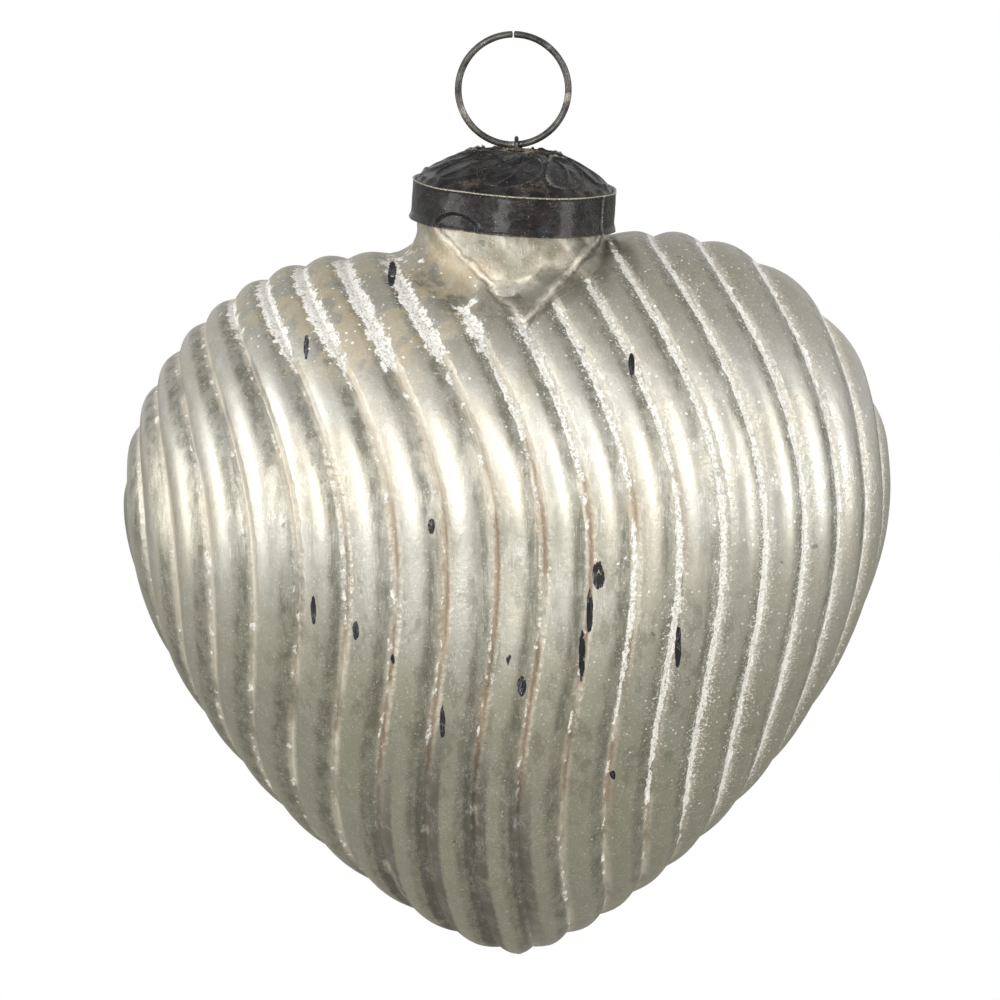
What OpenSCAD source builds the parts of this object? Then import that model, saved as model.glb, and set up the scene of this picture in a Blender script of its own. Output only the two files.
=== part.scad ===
// Heart-shaped antiqued mercury-glass ornament: blown glass, embossed metal cap, spring clip and ring.
// Millimetres. The origin is the inside top of the ring, where it hangs. Z is up and the front faces -Y.

/* [Hanging ring] */
// Radius of the ring at the middle of its wire
ring_radius = 8.45; // [8:0.05:10]
// Diameter of the ring wire
ring_wire = 1.05; // [0.9:0.05:1.2]
// Gap where the two ends of the ring wire meet
ring_gap = 0.12; // [0.06:0.01:0.3]

/* [Spring clip] */
// Diameter of the clip's spring wire
clip_wire = 0.64; // [0.5:0.02:0.7]
// Free space between the clip's loop and the ring wire
clip_play = 0.2; // [0.15:0.01:0.25]
// How far each leg reaches out from the middle, inside the neck
clip_reach = 10.9; // [9:0.1:11]
// Drop from the dome's top to the lower end of the legs
clip_drop = 19; // [15:0.5:20]

/* [Cap] */
// Distance of the clip and the cap's middle to the right of the ring's middle
hang_offset = 0.5; // [0:0.1:1]
// Outside radius of the collar strip
cap_radius = 15.7; // [15.5:0.1:16.4]
// Height of the collar strip
band_height = 6.1; // [5:0.1:7.5]
// Thickness of the sheet metal
sheet = 0.4; // [0.3:0.05:0.5]
// How far the collar's lower edge is turned out
band_flare = 0.25; // [0:0.05:0.6]
// Height of the collar's top edge above the edge of the dome
band_lip = 0.35; // [0.1:0.05:0.8]
// Turn of the collar's lap seam from the front, to the right
seam_angle = 59; // [20:1:150]
// Rise of the dome from its edge to the hole
dome_rise = 5.4; // [4:0.1:6]
// Drop from the ring wire's middle to the top of the dome
dome_drop = 0.95; // [0.9:0.05:1.4]
// Radius of the hole that the clip goes through
hole_radius = 1.8; // [1.75:0.05:2.2]
// Number of petals pressed into the dome
petals = 8; // [6:1:10]
// Height of the pressed lines
relief = 0.2; // [0.1:0.02:0.25]
// Lean of the cap and neck, right side down
cap_lean = 3.5; // [0:0.1:4.5]

/* [Glass heart] */
// Width across the two lobes
glass_width = 120.2; // [116:0.2:126]
// Depth from front to back
glass_depth = 70; // [64:1:76]
// Height of the lobe tops above the widest level
lobe_rise = 39.2; // [36:0.2:39.4]
// Distance of each lobe's middle from the centre
lobe_offset = 22.3; // [19:0.1:24]
// How much taller the right lobe stands than the left, as a fraction
lobe_tilt = 0.034; // [0:0.002:0.04]
// Drop from the widest level to the tip
tip_drop = 76.2; // [66:0.2:80]
// How far the tip bends to the left
tip_bend = 2; // [0:0.1:4]
// Drop from the origin to the widest level
widest_drop = 70.9; // [70.7:0.1:72]
// How deep the cleft between the lobes is cut, from none to a full crease
cleft = 0.4; // [0.2:0.05:0.6]
// Lean of the heart below the neck, left lobe down
heart_lean = 3.1; // [0:0.1:3.4]
// Thickness of the blown wall
wall = 1.6; // [1.3:0.1:2]
// Outside radius of the neck at its lip
neck_radius = 14.3; // [13.9:0.1:14.4]
// Spacing of the ribs round the glass
rib_pitch = 7.2; // [6.6:0.1:9]
// How much closer the ribs are on the right half than on the left
rib_bias = 0.045; // [0:0.005:0.06]
// Depth of the grooves between the ribs
rib_depth = 0.65; // [0.3:0.05:0.8]
// Sideways sweep of the ribs over the top of the lobes
rib_sweep = 13; // [6:0.5:15]
// Sideways bow of the ribs between the widest level and the tip
rib_bow = 5.6; // [0:0.1:7]

/* [Hidden] */
$fn = 96;

ring_mid = -(ring_radius - ring_wire / 2);
pin_z = ring_mid - ring_radius;             // the ring wire's middle, which the clip swings on
apex_z = pin_z - dome_drop;
loop_radius = ring_wire / 2 + clip_play + clip_wire / 2;
band_inside = cap_radius - sheet;
dome_radius = band_inside - 0.03;
dome_power = 2.4;                           // above 2 is flatter on top and steeper at the edge
skirt = 1.4;
band_top = dome_rise - band_lip;            // depths below the dome's top
lip_depth = dome_rise - 0.3;
bore = neck_radius - 1.5;
half_w = glass_width / 2;
half_d = glass_depth / 2;
crease = 3;                                 // softens the crease between the lobes
flank_q = 1.79;                             // the two powers that shape the flanks in front view
flank_p = 1.29;
side_q = 1.9;                               // and the two that shape them from the side
side_p = 1.6;
fade = 45;                                  // the two lobes run into one over this drop
rib_start = -1.5;
groove_power = 0.7;                         // below 1 keeps the ribs round and the grooves narrow
phases = [0, 0.2, 0.5, 0.8];                // slices per rib: groove, shoulder, crown, shoulder
steel = [0.25, 0.24, 0.24];
bronze = [0.30, 0.27, 0.24];
silver = [0.74, 0.72, 0.66];

// ---- hanging ring ----

module hanging_ring() {
    cut = asin(ring_gap / ring_radius);
    color(steel) translate([0, 0, ring_mid]) rotate([90, 0, 0])
        rotate([0, 0, 90 + cut / 2]) rotate_extrude(angle = 360 - cut)
            translate([ring_radius, 0]) circle(d = ring_wire);
}

// ---- spring clip ----

module wire(from, to, d) {
    v = to - from;
    translate(from) rotate([0, acos(v.z / norm(v)), atan2(v.y, v.x)]) cylinder(d = d, h = norm(v));
}

module wire_path(points, d) {
    for (i = [0:len(points) - 2]) wire(points[i], points[i + 1], d);
    for (i = [1:len(points) - 1]) translate(points[i]) sphere(d = d + 0.03);
}

module hanger_clip() {
    knee = apex_z - sheet - 1.2;
    foot = apex_z - clip_drop;
    color(steel) {
        translate([hang_offset, 0, pin_z]) rotate([90, 0, 90])
            rotate_extrude(angle = 180) translate([loop_radius, 0]) circle(d = clip_wire);
        for (s = [-1, 1])
            wire_path([[hang_offset, s * loop_radius, pin_z],
                       [hang_offset, s * loop_radius, knee],
                       [hang_offset, s * clip_reach, foot + 2.2],
                       [hang_offset, s * (clip_reach - 0.9), foot]], clip_wire);
    }
}

// ---- cap ----

module on_cap() {
    translate([hang_offset, 0, apex_z]) rotate([0, cap_lean, 0]) children();
}

function dome_depth(r) = dome_rise * pow(r / dome_radius, dome_power);

module dome_section(low, high) {
    n = 9;
    r = [for (i = [0:n]) hole_radius + (dome_radius - hole_radius) * i / n];
    polygon(concat([for (i = [0:n]) [r[i], high - dome_depth(r[i])]],
                   [for (i = [n:-1:0]) [r[i], low - dome_depth(r[i])]]));
}

module petal_line(radius, at) {
    linear_extrude(height = 4 * dome_rise, center = true) translate([at, 0])
        difference() { circle(radius); circle(radius - 0.45); }
}

module cap_dome() {
    outer = 0.275 * dome_radius;
    inner = 0.165 * dome_radius;
    color(bronze) on_cap() {
        rotate_extrude() dome_section(-sheet, 0);
        translate([0, 0, -dome_rise - skirt]) difference() {
            cylinder(r = dome_radius, h = skirt);
            translate([0, 0, -1]) cylinder(r = dome_radius - sheet, h = skirt + 2);
        }
        intersection() {
            rotate_extrude() dome_section(-sheet / 2, relief);
            for (i = [0:petals - 1]) rotate([0, 0, 360 * (i + 0.25) / petals]) {
                petal_line(outer, 0.69 * dome_radius);
                rotate([0, 0, 180 / petals]) petal_line(inner, 0.36 * dome_radius);
            }
        }
    }
}

module cap_band() {
    z1 = -band_top;
    z0 = z1 - band_height;
    color(bronze) on_cap() difference() {
        union() {
            rotate_extrude() polygon([
                [band_inside, z1], [cap_radius, z1],
                [cap_radius, z0 + 1.1], [cap_radius + band_flare, z0],
                [band_inside + band_flare, z0], [band_inside, z0 + 1.1]]);
            rotate([0, 0, seam_angle - 90]) rotate_extrude(angle = 24) polygon([
                [cap_radius - 0.1, z1], [cap_radius + 0.2, z1],
                [cap_radius + 0.2, z0 + 1.1], [cap_radius - 0.1, z0 + 1.1]]);
        }
        rotate([0, 0, -34]) translate([0, -cap_radius + 0.18, z0 - 2.4])
            rotate([90, 0, 0]) cylinder(r = 3.9, h = 4);
    }
}

// ---- glass heart ----
// In the heart's own frame z is 0 at the widest level, and g is how far the surface is set in from the outside.

function clamp01(t) = max(0, min(1, t));
function ease(t) = let (c = clamp01(t)) c * c * (3 - 2 * c);
function fall(z, g) = min(0.99999, max(0, -z / (tip_drop - g)));
function half_width(z, g) = (half_w - g) * pow(1 - pow(fall(z, g), flank_q), 1 / flank_p);
function half_depth(z, g) = (half_d - g) * pow(1 - pow(fall(z, g), side_q), 1 / side_p);
function lobe_x(z) = lobe_offset * ease(1 + z / fade);

// square of the half-depth at x and z, below zero outside the outline
function depth_sq(x, z, g) =
    let (w = half_width(z, g), x0 = min(lobe_x(z), w / 2), ax = norm([x, crease]),
         e = (ax - x0) / (norm([w, crease]) - x0),
         up = max(0, z) / (lobe_rise - g) / (1 + lobe_tilt * x / half_w))
    pow(half_depth(z, g), 2) * (1 - e * e * (ax < x0 ? cleft : 1) - up * up);

// where a rib's line runs: its distance round the section from the front's middle
function sweep(z) = z > 0 ? -rib_sweep * pow(z / 37, 2) : -rib_bow * pow(sin(180 * z / 98), 2);
function along(u, z) = rib_start + sweep(z) + u * rib_pitch / (1 + (u > 0 ? rib_bias : -rib_bias));
function quarter(z, g) = (half_width(z, g) + half_depth(z, g)) * PI / 4;

// x of that distance on an elliptical section, by Newton's method on arc = A a + B sin(2a)
function newton(a, s, p, q, n) = n == 0 ? a :
    newton(a - (p * a * PI / 180 + q * sin(2 * a) - s) / (p + 2 * q * cos(2 * a)) * 180 / PI, s, p, q, n - 1);
function rib_x(u, z, g) =
    let (w = half_width(z, g), d = half_depth(z, g), l = quarter(z, g),
         s = max(-l, min(l, along(u, z))))
    w * sin(newton(90 * s / l, s, (w + d) / 2, (w - d) / 4, 5));

function inside(u, z, g) = z > 0 ? depth_sq(rib_x(u, z, g), z, g) > 0 : abs(along(u, z)) < quarter(z, g);
function edge(u, g, lo, hi, n) = n == 0 ? lo :
    inside(u, (lo + hi) / 2, g) ? edge(u, g, (lo + hi) / 2, hi, n - 1) : edge(u, g, lo, (lo + hi) / 2, n - 1);

function unit(v) = v / norm(v);
function outward(x, y, z, g) = unit([
    depth_sq(x - 0.05, z, g) - depth_sq(x + 0.05, z, g), 0.2 * y,
    depth_sq(x, z - 0.05, g) - depth_sq(x, z + 0.05, g)]);
function groove(u) = 1 - pow(abs(sin(180 * u)), groove_power);

function skin_point(u, z, g, side, deep) =
    let (x = rib_x(u, z, g), y = side * sqrt(max(0, depth_sq(x, z, g))))
    [x - tip_bend * pow(fall(z, 0), 2), y, z] - outward(x, y, z, g) * deep;

// one slice of the heart: down the front and up the back
function slice(u, g, m, deep) =
    let (top = edge(u, g, 0, lobe_rise * 1.05, 24), low = edge(u, g, 0, -tip_drop, 24),
         mid = (top + low) / 2, half = (top - low) / 2,
         z = [for (i = [0:m]) mid + half * cos(180 * i / m)])
    concat([for (i = [0:m]) skin_point(u, z[i], g, -1, deep)],
           [for (i = [m - 1:-1:1]) skin_point(u, z[i], g, 1, deep)]);

function mean(v) = [for (k = [0:2]) [for (p = v) p[k]] * [for (p = v) 1] / len(v)];

module sliced_heart(us, g, m, deep) {
    rings = [for (u = us) slice(u, g, m, deep * groove(u))];
    n = 2 * m;
    k = len(us);
    polyhedron(concat([for (r = rings) each r], [mean(rings[0]), mean(rings[k - 1])]), concat(
        [for (j = [0:k - 2], i = [0:n - 1]) let (a = j * n + i, b = j * n + (i + 1) % n)
            each [[a, a + n, b], [b, a + n, b + n]]],
        [for (i = [0:n - 1]) [k * n, i, (i + 1) % n]],
        [for (i = [0:n - 1]) [k * n + 1, (k - 1) * n + (i + 1) % n, (k - 1) * n + i]]));
}

function last_rib(g, side) =
    (side * (quarter(0, g) - 2.5) - rib_start) * (1 + side * rib_bias) / rib_pitch;

module ribbed_heart() {
    a = last_rib(0, -1);
    b = last_rib(0, 1);
    us = concat([a], [for (i = [floor(a):ceil(b)], p = phases)
        if (i + p > a + 0.12 && i + p < b - 0.12) i + p], [b]);
    sliced_heart(us, 0, 23, rib_depth);
}

module hollow_heart() {
    a = last_rib(wall, -1);
    b = last_rib(wall, 1);
    n = 24;
    sliced_heart([for (i = [0:n]) a + (b - a) * i / n], wall, 14, 0);
}

module in_heart() {
    translate([-0.95, 0, -widest_drop]) rotate([0, -heart_lean, 0]) children();
}

module glass_heart() {
    r = neck_radius;
    foot = -apex_z - widest_drop + lobe_rise;   // from the dome's top down to the lobe tops, as a negative depth
    color(silver) difference() {
        union() {
            in_heart() ribbed_heart();
            on_cap() rotate_extrude() polygon([
                [0, -lip_depth], [r - 0.5, -lip_depth], [r, -lip_depth - 0.5], [r, -lip_depth - 3],
                [r + 0.4, foot + 3], [r + 1, foot], [r + 1.6, foot - 3], [r, foot - 9], [0, foot - 9]]);
        }
        in_heart() hollow_heart();
        on_cap() translate([0, 0, foot - 12]) cylinder(r = bore, h = 40);
    }
}

hanging_ring();
hanger_clip();
cap_dome();
cap_band();
glass_heart();
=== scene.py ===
import math

import bpy
import numpy as np
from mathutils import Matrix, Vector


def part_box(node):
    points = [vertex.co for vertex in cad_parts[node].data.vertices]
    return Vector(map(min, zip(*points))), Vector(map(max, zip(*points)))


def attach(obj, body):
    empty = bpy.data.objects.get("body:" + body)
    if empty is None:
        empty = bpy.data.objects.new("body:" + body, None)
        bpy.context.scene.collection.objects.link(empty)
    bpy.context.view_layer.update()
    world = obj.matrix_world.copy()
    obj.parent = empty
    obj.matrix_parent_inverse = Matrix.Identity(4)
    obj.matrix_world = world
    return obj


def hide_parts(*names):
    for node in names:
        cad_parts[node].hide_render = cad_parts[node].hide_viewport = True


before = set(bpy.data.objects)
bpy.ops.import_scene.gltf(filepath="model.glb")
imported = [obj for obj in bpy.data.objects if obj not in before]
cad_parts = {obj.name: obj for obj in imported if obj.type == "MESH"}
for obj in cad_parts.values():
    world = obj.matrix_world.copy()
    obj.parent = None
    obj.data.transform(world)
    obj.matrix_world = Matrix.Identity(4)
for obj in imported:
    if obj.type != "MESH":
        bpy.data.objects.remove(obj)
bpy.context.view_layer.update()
scene = bpy.context.scene
mm = 0.001
tau = 2 * math.pi

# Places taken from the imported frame, in millimetres
ringHigh = np.array(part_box("hanging_ring")[1]) / mm
clipHigh = np.array(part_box("hanger_clip")[1]) / mm
print("frame loaded")


# 0 below nought, 1 above one, and a smooth S between
def ease(t):
    c = np.clip(t, 0, 1)
    return c * c * (3 - 2 * c)


# A bell curve of height 1 and that half-width
def bell(t, width):
    return np.exp(-(t / width) ** 2)


# Turn points about the Y axis, then shift them
def turnY(points, degrees, shift=(0, 0, 0)):
    c, s = math.cos(math.radians(degrees)), math.sin(math.radians(degrees))
    x, y, z = points[..., 0], points[..., 1], points[..., 2]
    return np.stack([x * c + z * s, y, z * c - x * s], -1) + np.array(shift)


# The same in reverse
def turnBackY(points, degrees, shift=(0, 0, 0)):
    return turnY(points - np.array(shift), -degrees)


# Radius, angle and height to x, y and z; angle 0 is to the right, and the front is at -90 degrees
def fromPolar(radius, angle, height):
    radius, angle, height = np.broadcast_arrays(radius, angle, height)
    return np.stack([radius * np.cos(angle), radius * np.sin(angle), height], -1)


# Slow unevenness: products of sines of x, y and z at three wavelengths
def unevenness(p, wavelength, seed=0.0):
    x, y, z = (p[..., k] / wavelength * tau for k in range(3))
    return (np.sin(x * 0.7 + z * 0.5 + seed) * np.sin(y * 0.9 - z * 0.31 + 2 * seed)
            + 0.6 * np.sin(x * 1.3 - y * 1.1 + 3 * seed) * np.sin(z * 1.2 + x * 0.4)
            + 0.4 * np.sin(z * 2.3 + y * 1.7 + seed) * np.sin(x * 2.1 + 1.3))


# Corner numbers of a grid's squares: rows run down, columns run anticlockwise seen from above
def gridFaces(numbers):
    after = np.roll(numbers, -1, axis=1)
    return np.stack([numbers[:-1], numbers[1:], after[1:], after[:-1]], -1).reshape(-1, 4)


# Triangles between one middle point and a row of points round it
def fanFaces(row, middle, flip=False):
    after = np.roll(row, -1)
    centre = np.full(len(row), middle)
    return np.stack([centre, after, row] if flip else [centre, row, after], -1)


# Put points (millimetres), squares and triangles into a new smooth-shaded object
def makePiece(name, points, squares, triangles, values, material, body, node):
    squares = np.asarray(squares, int).reshape(-1, 4)
    triangles = np.asarray(triangles, int).reshape(-1, 3)
    used = np.zeros(len(points), bool)
    used[squares.ravel()] = True
    used[triangles.ravel()] = True
    numbers = np.cumsum(used) - 1
    corners = np.concatenate([numbers[squares.ravel()], numbers[triangles.ravel()]]).astype(np.int32)
    starts = np.concatenate([np.arange(len(squares)) * 4,
                             len(squares) * 4 + np.arange(len(triangles)) * 3])
    mesh = bpy.data.meshes.new(name)
    mesh.vertices.add(int(used.sum()))
    mesh.vertices.foreach_set("co", (points[used] * mm).astype(np.float32).ravel())
    mesh.loops.add(len(corners))
    mesh.loops.foreach_set("vertex_index", corners)
    mesh.polygons.add(len(starts))
    mesh.polygons.foreach_set("loop_start", starts.astype(np.int32))
    mesh.polygons.foreach_set("use_smooth", np.ones(len(starts), bool))
    for label, value in values.items():
        attribute = mesh.attributes.new(label, "FLOAT", "POINT")
        attribute.data.foreach_set("value", value[used].astype(np.float32))
    mesh.update(calc_edges=True)
    mesh.materials.append(material)
    piece = bpy.data.objects.new(name, mesh)
    scene.collection.objects.link(piece)
    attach(piece, body)
    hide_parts(node)
    print(name, len(mesh.vertices), "points,", len(squares) * 2 + len(triangles), "triangles")
    return piece


# Short ways to add nodes; a value may be a number or another node's output

def join(tree, value, socket):
    if isinstance(value, bpy.types.NodeSocket):
        tree.links.new(value, socket)
    else:
        socket.default_value = value


def calc(tree, operation, a, b=0.0, c=None):
    node = tree.nodes.new("ShaderNodeMath")
    node.operation = operation
    join(tree, a, node.inputs[0])
    join(tree, b, node.inputs[1])
    if c is not None:
        join(tree, c, node.inputs[2])
    return node.outputs[0]


def times(tree, first, *others):
    for other in others:
        first = calc(tree, "MULTIPLY", first, other)
    return first


def minus(tree, a, b):
    return calc(tree, "SUBTRACT", a, b)


def larger(tree, a, b):
    return calc(tree, "MAXIMUM", a, b)


def absolute(tree, a):
    return calc(tree, "ABSOLUTE", a)


# a times b, plus c
def scaled(tree, a, b, c):
    return calc(tree, "MULTIPLY_ADD", a, b, c)


# low to high becomes 0 to 1, held at both ends; low may be the larger
def ramp(tree, value, low, high, smooth=True):
    node = tree.nodes.new("ShaderNodeMapRange")
    node.interpolation_type = "SMOOTHSTEP" if smooth else "LINEAR"
    join(tree, value, node.inputs["Value"])
    join(tree, low, node.inputs["From Min"])
    join(tree, high, node.inputs["From Max"])
    return node.outputs["Result"]


def mixColour(tree, factor, a, b):
    node = tree.nodes.new("ShaderNodeMix")
    node.data_type, node.clamp_factor = "RGBA", True
    join(tree, factor, node.inputs[0])
    join(tree, a, node.inputs[6])
    join(tree, b, node.inputs[7])
    return node.outputs[2]


def mixValue(tree, factor, a, b):
    node = tree.nodes.new("ShaderNodeMix")
    node.clamp_factor = True
    join(tree, factor, node.inputs[0])
    join(tree, a, node.inputs[2])
    join(tree, b, node.inputs[3])
    return node.outputs[0]


def noise(tree, vector, scale, detail=2.0, roughness=0.5):
    node = tree.nodes.new("ShaderNodeTexNoise")
    join(tree, vector, node.inputs["Vector"])
    join(tree, scale, node.inputs["Scale"])
    node.inputs["Detail"].default_value = detail
    node.inputs["Roughness"].default_value = roughness
    return node.outputs["Fac"]


# Turn and stretch a pattern's coordinates
def placed(tree, vector, turn=(0, 0, 0), stretch=(1, 1, 1), shift=(0, 0, 0)):
    node = tree.nodes.new("ShaderNodeMapping")
    join(tree, vector, node.inputs["Vector"])
    node.inputs["Rotation"].default_value = [math.radians(a) for a in turn]
    node.inputs["Scale"].default_value = stretch
    node.inputs["Location"].default_value = shift
    return node.outputs["Vector"]


def startGroup(name, inputs, outputs):
    group = bpy.data.node_groups.new(name, "ShaderNodeTree")
    for label, kind, value in inputs:
        socket = group.interface.new_socket(name=label, in_out="INPUT", socket_type="NodeSocket" + kind)
        if value is not None:
            socket.default_value = value
    for label, kind in outputs:
        group.interface.new_socket(name=label, in_out="OUTPUT", socket_type="NodeSocket" + kind)
    return group, group.nodes.new("NodeGroupInput").outputs, group.nodes.new("NodeGroupOutput").inputs


def useGroup(tree, group, **values):
    node = tree.nodes.new("ShaderNodeGroup")
    node.node_tree = group
    for label, value in values.items():
        join(tree, value, node.inputs[label])
    return node.outputs


# A material with a Principled shader, its tree, and its Object coordinates in millimetres
def startMaterial(name):
    material = bpy.data.materials.new(name)
    material.use_nodes = True
    tree = material.node_tree
    tree.nodes.clear()
    shader = tree.nodes.new("ShaderNodeBsdfPrincipled")
    output = tree.nodes.new("ShaderNodeOutputMaterial")
    tree.links.new(shader.outputs[0], output.inputs[0])
    coordinates = tree.nodes.new("ShaderNodeTexCoord")
    place = placed(tree, coordinates.outputs["Object"], stretch=(1 / mm, 1 / mm, 1 / mm))
    return material, tree, shader, place


def attribute(tree, name):
    node = tree.nodes.new("ShaderNodeAttribute")
    node.attribute_name = name
    return node.outputs["Fac"]


def axes(tree, vector):
    node = tree.nodes.new("ShaderNodeSeparateXYZ")
    join(tree, vector, node.inputs[0])
    return node.outputs[0], node.outputs[1], node.outputs[2]


def bumped(tree, height, strength, distance, normal=None):
    node = tree.nodes.new("ShaderNodeBump")
    join(tree, height, node.inputs["Height"])
    node.inputs["Strength"].default_value = strength
    node.inputs["Distance"].default_value = distance * mm
    if normal is not None:
        join(tree, normal, node.inputs["Normal"])
    return node.outputs["Normal"]


# Small separate specks: near a random cell's middle, and only in some of the cells
def makeSpecks():
    group, given, out = startGroup("scatteredSpecks", [
        ("Vector", "Vector", None), ("Size", "Float", 1.0), ("Share", "Float", 0.3),
        ("Radius", "Float", 0.25)], [("Mask", "Float")])
    scale = calc(group, "DIVIDE", 1.0, given["Size"])
    cells = group.nodes.new("ShaderNodeTexVoronoi")
    ragged = group.nodes.new("ShaderNodeTexNoise")
    join(group, given["Vector"], ragged.inputs["Vector"])
    join(group, times(group, scale, 3.0), ragged.inputs["Scale"])
    join(group, given["Vector"], cells.inputs["Vector"])
    join(group, scale, cells.inputs["Scale"])
    fromMiddle = minus(group, cells.outputs["Distance"], 0.25)
    uneven = scaled(group, ragged.outputs["Fac"], 0.5, fromMiddle)
    inCell = ramp(group, uneven, given["Radius"], times(group, given["Radius"], 0.7))
    chosen = calc(group, "LESS_THAN", axes(group, cells.outputs["Color"])[0], given["Share"])
    join(group, times(group, inCell, chosen), out["Mask"])
    return group


# Ragged patches: several sizes of noise, cut off at a level set by how much is covered
def makePatches():
    group, given, out = startGroup("raggedPatches", [
        ("Vector", "Vector", None), ("Size", "Float", 4.0), ("Cover", "Float", 0.4),
        ("Softness", "Float", 0.05)], [("Mask", "Float")])
    level = noise(group, given["Vector"], calc(group, "DIVIDE", 1.0, given["Size"]), 6.0, 0.62)
    cut = minus(group, 0.72, times(group, given["Cover"], 0.44))
    join(group, ramp(group, level, minus(group, cut, given["Softness"]),
                     calc(group, "ADD", cut, given["Softness"])), out["Mask"])
    return group


# Fine crossing scratches: three stretched noises, each kept only along its middle level
def makeScratches():
    group, given, out = startGroup("fineScratches", [
        ("Vector", "Vector", None), ("Size", "Float", 1.0),
        ("Amount", "Float", 0.5)], [("Mask", "Float")])
    found = None
    layers = (((0, 34, 10), (2.6, 2.6, 0.09)), ((20, -28, 0), (2.2, 2.2, 0.07)),
              ((0, 62, 25), (3.0, 3.0, 0.12)))
    for turn, stretch in layers:
        lines = noise(group, placed(group, given["Vector"], turn, stretch),
                      calc(group, "DIVIDE", 1.0, given["Size"]), 2.0, 0.5)
        away = absolute(group, minus(group, lines, 0.5))
        line = ramp(group, away, times(group, given["Amount"], 0.03), 0.0)
        found = line if found is None else larger(group, found, line)
    broken = ramp(group, noise(group, given["Vector"], 0.35, 3.0), 0.42, 0.6)
    join(group, times(group, found, broken), out["Mask"])
    return group


specks = makeSpecks()
patches = makePatches()
scratches = makeScratches()
print("shared effects made")


# The glass: lengths in mm, colours as red, green, blue, alpha
glass = {
    "silver": (0.54, 0.525, 0.470, 1),
    "warmSilver": (0.54, 0.505, 0.42, 1),
    "paintedDimSilver": (0.37, 0.352, 0.265, 1),
    "shadowSilver": (0.20, 0.192, 0.145, 1),
    "neckStain": (0.30, 0.275, 0.235, 1),
    "cream": (0.72, 0.66, 0.55, 1),
    "brown": (0.30, 0.215, 0.14, 1),
    "ochre": (0.50, 0.38, 0.21, 1),
    "seep": (0.42, 0.345, 0.25, 1),
    "crust": (1.0, 0.99, 0.95, 1),
    "crustShade": (0.74, 0.71, 0.63, 1),
    "stain": (0.050, 0.044, 0.036, 1),
    "chip": (0.010, 0.010, 0.014, 1),
    "paleGrain": (1, 1, 0.97, 1),
    "green": (0.02, 0.20, 0.10, 1),
    "glint": (0.97, 0.96, 0.92, 1),
    "scratch": (0.95, 0.94, 0.9, 1),
    # oval places on the glass: the middle's x and z, then half the width and height
    "streakedBand": ((2, -92), (46, 30)),
    "brownGrooves": ((2, -92), (42, 42)),
    "flakedPatch": ((-24, -37), (25, 15)),
    "broadCrust": ((-22, -34), (34, 16)),
    "lowCrust": ((47, -90), (38, 50)),
    "topCrust": ((24, -42), (40, 26)),
    "tipStains": ((-9, -128), (19, 30)),
    "chippedBand": ((6, -88), (36, 28)),
    "greenFleck": ((-20.4, -32.3), (1.2, 1.0)),
    "chipPlaces": [((12.6, -76.5), (1.3, 3.0)), ((11.3, -82), (0.7, 5.0)),
                   ((10.2, -89), (0.7, 6.0)), ((-10.7, -100), (0.6, 4.0)),
                   ((-12.2, -69), (0.8, 1.8)), ((-29.8, -82), (0.6, 3.2)),
                   ((1.2, -94), (1.0, 2.4)), ((24.6, -88), (0.7, 5.0)),
                   ((-23.5, -85), (0.7, 2.2)), ((17.5, -46), (0.7, 2.2)),
                   ((-18.5, -35.0), (0.9, 2.0)), ((-31.0, -44), (0.6, 2.4))],
    "roughness": 0.39,
    "coat": 0.25,
}


# A soft-edged oval area, 1 inside and 0 outside, on the front and back alike
def area(tree, x, z, middle, size):
    across = calc(tree, "DIVIDE", minus(tree, x, middle[0]), size[0])
    down = calc(tree, "DIVIDE", minus(tree, z, middle[1]), size[1])
    away = calc(tree, "ADD", times(tree, across, across), times(tree, down, down))
    return ramp(tree, away, 1.0, 0.25)


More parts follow.
